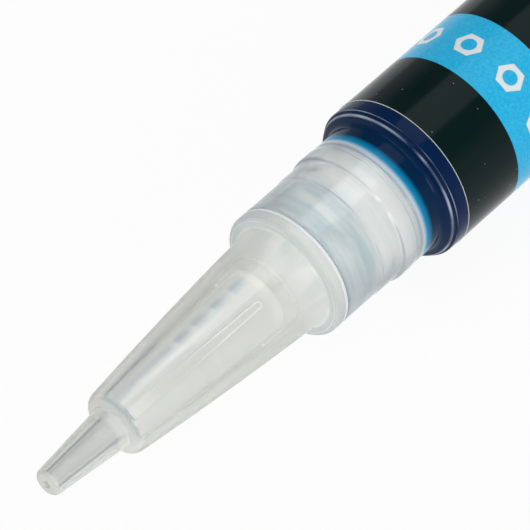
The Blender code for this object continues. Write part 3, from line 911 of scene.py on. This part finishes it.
def make_nozzle():
    """Nozzle from the tip's end over the cone, the flange and the skirt, and back through its inside."""
    heights = [FLANGE_TOP_Z + CONE_LENGTH * step / CONE_STEPS for step in range(1, CONE_STEPS)]
    inside_front = CONE_TOP_Z - NOZZLE_FRONT_WALL
    outline = [
        (TIP_Z, TIP_END_RADIUS, TIP_ROUND),
        (CONE_TOP_Z, TIP_BASE_RADIUS, STEP_ROUND),
        (CONE_TOP_Z, CONE_FRONT_RADIUS, CONE_FRONT_ROUND),
    ]
    outline += [(height, cone_radius(height), SHARP) for height in reversed(heights)]
    outline += [
        (FLANGE_TOP_Z, CONE_REAR_RADIUS, EDGE_ROUND),
        (FLANGE_TOP_Z, FLANGE_RADIUS, FLANGE_ROUND),
        (FLANGE_REAR_Z, FLANGE_RADIUS, EDGE_ROUND),
        (FLANGE_REAR_Z, SKIRT_RADIUS, FINE_ROUND),
        (SKIRT_END_Z, SKIRT_RADIUS, RIM_ROUND),
        (SKIRT_END_Z, SKIRT_BORE, RIM_ROUND),
        (FLANGE_REAR_Z, SKIRT_BORE, INNER_ROUND),
    ]
    outline += [(height, cone_inside(height), SHARP) for height in heights if height < inside_front]
    outline += [
        (inside_front, cone_inside(inside_front), SOFT_ROUND),
        (inside_front, TIP_BORE_BASE, INNER_ROUND),
        (ORIFICE_REAR_Z, TIP_BORE_END, SHARP),
        (ORIFICE_REAR_Z, ORIFICE_RADIUS, SHARP),
        (TIP_Z, ORIFICE_RADIUS, FINE_ROUND),
    ]
    shape = outline_shape(outline, closed=True)
    piece("cone_nozzle", shape, [nozzle_plastic()], "nozzle")


def core_radius(height):
    """Outer radius of the core between its rings."""
    along = (height - CORE_REAR_Z) / (CORE_FRONT_Z - CORE_REAR_Z)
    return CORE_REAR_RADIUS + (CORE_FRONT_RADIUS - CORE_REAR_RADIUS) * along


def fin_plate():
    """Mesh of one fin that stands up from the axis: round at its rear and wider to the front."""
    plate = bmesh.new()
    bmesh.ops.create_cube(plate, size=1.0)
    rear = [edge for edge in plate.edges if all(vert.co.x > 0 for vert in edge.verts)]
    uprights = [edge for edge in rear if edge.verts[0].co.y == edge.verts[1].co.y]
    for vert in plate.verts:
        height, width = (FIN_FRONT_Z, FIN_FRONT_WIDTH) if vert.co.x < 0 else (FIN_REAR_Z, FIN_REAR_WIDTH)
        edge = cone_inside(height) - FIN_GAP
        root = core_radius(height) - FIN_ROOT_SINK
        vert.co = (BASE_X - height, math.copysign(width / 2, vert.co.y), edge if vert.co.z > 0 else root)
    bmesh.ops.bevel(
        plate, geom=uprights, offset=FIN_ROUNDING, offset_type="OFFSET", segments=ROUND_STEPS,
        profile=0.5, affect="EDGES", clamp_overlap=True, material=-1,
    )
    plate.normal_update()
    outer = max(plate.faces, key=lambda face: face.normal.z * face.calc_area())
    flanks = [face for face in plate.faces if abs(face.normal.y) > FIN_FLANK_NORMAL]
    for face in flanks:
        face.material_index = FIN_SIDE
    outer.material_index = FIN_FACE
    rim = bmesh.ops.inset_individual(plate, faces=[outer] + flanks, thickness=FIN_EDGE, use_even_offset=True)
    front_x = min(vert.co.x for vert in plate.verts)
    for face in rim["faces"]:
        at_front = face.calc_center_median().x < front_x + FIN_EDGE
        face.material_index = FIN_FACE if at_front else FIN_RIM
    mesh = bpy.data.meshes.new("fin")
    plate.to_mesh(mesh)
    plate.free()
    return mesh


def add_fins(shape):
    """Plates round the core that nearly reach the inside of the cone."""
    plate = fin_plate()
    for fin in range(FINS):
        turned = plate.copy()
        turn = Matrix.Rotation(-(FIN_TURN + fin * 2 * math.pi / FINS), 4, "X")
        turned.transform(Matrix.Translation((0.0, 0.0, AXIS_Z)) @ turn)
        shape.from_mesh(turned)
        bpy.data.meshes.remove(turned)
    bpy.data.meshes.remove(plate)


def make_core():
    """Core tube with its fine rings and its fins."""
    outline = [(CORE_FRONT_Z, CORE_FRONT_RADIUS, RIM_ROUND)]
    for ring in reversed(range(CORE_RINGS)):
        middle = CORE_FIRST_RING_Z + CORE_RING_PITCH * ring
        front = middle + CORE_RING_HALF_WIDTH
        rear = middle - CORE_RING_HALF_WIDTH
        outline += [
            (front, core_radius(front), SHARP),
            (middle, core_radius(middle) + CORE_RING_HEIGHT, SHARP),
            (rear, core_radius(rear), SHARP),
        ]
    outline += [
        (CORE_REAR_Z, CORE_REAR_RADIUS, SOFT_ROUND),
        (CORE_REAR_Z, CORE_REAR_BORE, CORE_BORE_ROUND),
        (CORE_FRONT_Z, CORE_FRONT_BORE, FINE_ROUND),
    ]
    shape = outline_shape(outline, closed=True)
    add_fins(shape)
    bmesh.ops.recalc_face_normals(shape, faces=shape.faces)
    plastic = milky_plastic("core_plastic", core_paint, milk=0.8, roughness=0.15)
    # Painted highlight on the fins' rims
    rim = milky_plastic("core_fin_rim_highlight", fin_rim_highlight_paint, milk=1.0, roughness=0.3)
    face = milky_plastic("core_fin_face", fin_face_paint, milk=0.8, roughness=0.3)
    # Painted shade on the fins' flanks
    side = milky_plastic("core_fin_side_shade", fin_side_shade_paint, milk=0.8, roughness=0.2)
    piece("finned_core", shape, [plastic, rim, face, side], "nozzle_core")


def make_cap():
    """Pull-off cap with a sealing pin inside its end."""
    inside_end = CAP_LENGTH - CAP_END_WALL
    pin_end = inside_end - CAP_PIN_LENGTH
    outline = [
        (CAP_LENGTH, 0.0, SHARP),
        (CAP_LENGTH, CAP_END_RADIUS, CAP_END_ROUND),
        (CAP_RIM_LENGTH, CAP_RADIUS - CAP_STEP, HAIR_ROUND),
        (CAP_RIM_LENGTH, CAP_RADIUS, HAIR_ROUND),
        (0.0, CAP_RADIUS, RIM_ROUND),
        (0.0, CAP_BORE, RIM_ROUND),
        (CAP_BORE_LENGTH, CAP_BORE, SOFT_ROUND),
        (inside_end, CAP_INSIDE_RADIUS, WIDE_ROUND),
        (inside_end, CAP_PIN_RADIUS, FINE_ROUND),
        (pin_end, CAP_PIN_RADIUS, FINE_ROUND),
        (pin_end, 0.0, SHARP),
    ]
    shape = outline_shape(outline, closed=False, rim_x=CAP_RIM_X)
    paint = cloudy(rgb(250, 251, 249), rgb(240, 243, 241))
    plastic = milky_plastic("cap_plastic", paint, milk=0.4, roughness=0.2)
    piece("pull_cap", shape, [plastic], "overcap", body="cap")


def seen_directly(start):
    """1 for rays that the eye follows: straight, in a reflection or through clear plastic."""
    path = start.node("LightPath", {}, {})
    camera, glossy, through = path.outputs("Is Camera Ray", "Is Glossy Ray", "Is Transmission Ray")
    return start.math("MAXIMUM", start.math("MAXIMUM", camera, glossy), through)


def make_floor():
    """Pale floor that shows white and keeps the object's shadow."""
    shape = bmesh.new()
    bmesh.ops.create_grid(shape, x_segments=1, y_segments=1, size=FLOOR_HALF_SIDE)
    bmesh.ops.translate(shape, verts=shape.verts, vec=(0.0, 0.0, AXIS_Z - LABEL_RADIUS - FLOOR_GAP))
    mesh = bpy.data.meshes.new("floor")
    shape.to_mesh(mesh)
    shape.free()
    material, start = blank_material("floor_white")
    paper = start.node("BsdfDiffuse", {}, {"Color": FLOOR_GREY})
    glow = start.node("Emission", {}, {"Color": FLOOR_WHITE, "Strength": 1.0})
    shader = (seen_directly(start) * FLOOR_GLOW_SHARE).blend(paper, glow)
    start.node("OutputMaterial", {}, {"Surface": shader})
    mesh.materials.append(material)
    floor = bpy.data.objects.new("floor", mesh)
    bpy.context.scene.collection.objects.link(floor)


def make_world():
    """Studio that is white round the horizon, dim overhead and a little darker on the side towards +Y."""
    world = bpy.data.worlds.new("studio")
    world.use_nodes = True
    world.node_tree.nodes.clear()
    start = Shade(world.node_tree)
    way = start.node("TexCoord", {}, {}, output="Generated")
    far, height = start.node("SeparateXYZ", {}, {0: way}).outputs("Y", "Z")
    dim = height.step(WHITE_WALL_TOP, DIM_CEILING_START)
    side = FAR_SIDE_LIGHT + (1 - FAR_SIDE_LIGHT) * (0.5 - 0.5 * far)
    sky = start.node("Background", {}, {"Strength": side * (1 - (1 - CEILING_LIGHT) * dim)})
    start.node("OutputWorld", {}, {"Surface": sky})
    bpy.context.scene.world = world


def add_softbox(name, direction, size, power):
    """Rectangular area light that faces the tube from a direction."""
    light = bpy.data.lights.new(name, "AREA")
    light.shape = "RECTANGLE"
    light.size, light.size_y = size
    light.energy = power
    lamp = bpy.data.objects.new(name, light)
    way = Vector(direction).normalized()
    lamp.location = Vector((0.0, 0.0, AXIS_Z)) + way * SOFTBOX_DISTANCE
    lamp.rotation_euler = way.to_track_quat("Z", "Y").to_euler()
    lamp.visible_camera = False
    bpy.context.scene.collection.objects.link(lamp)


def make_camera():
    """Camera at the photograph's viewing angle, aimed beside the nozzle's axis."""
    right = Vector((math.cos(CAMERA_AZIMUTH), math.sin(CAMERA_AZIMUTH), 0.0))
    level_back = Vector((math.sin(CAMERA_AZIMUTH), -math.cos(CAMERA_AZIMUTH), 0.0))
    back = level_back * math.cos(CAMERA_ELEVATION) + Vector((0.0, 0.0, math.sin(CAMERA_ELEVATION)))
    up = back.cross(right)
    to_nozzle = Vector((-1.0, 0.0, 0.0))
    along = (to_nozzle - back * to_nozzle.dot(back)).normalized()
    aside = back.cross(along)
    aim = Vector((BASE_X - LABEL_FRONT_Z - AIM_AHEAD_OF_LABEL, 0.0, AXIS_Z)) - aside * AIM_ASIDE
    data = bpy.data.cameras.new("camera")
    data.sensor_fit = "HORIZONTAL"
    data.angle = 2 * math.atan(PHOTO_SIDE / 2 / FOCAL_PIXELS)
    data.clip_start = CAMERA_CLIP_START
    camera = bpy.data.objects.new("camera", data)
    camera.location = aim + back * CAMERA_DISTANCE
    camera.rotation_euler = Matrix((right, up, back)).transposed().to_euler()
    bpy.context.scene.collection.objects.link(camera)
    bpy.context.scene.camera = camera


def main():
    """Every piece of the tube, then the floor, the light and the camera."""
    make_bottle()
    make_fill()
    make_label()
    make_plug()
    make_nozzle()
    make_core()
    make_cap()
    make_floor()
    make_world()
    for softbox in SOFTBOXES:
        add_softbox(*softbox)
    make_camera()
    bpy.context.scene.view_settings.view_transform = "Standard"


main()
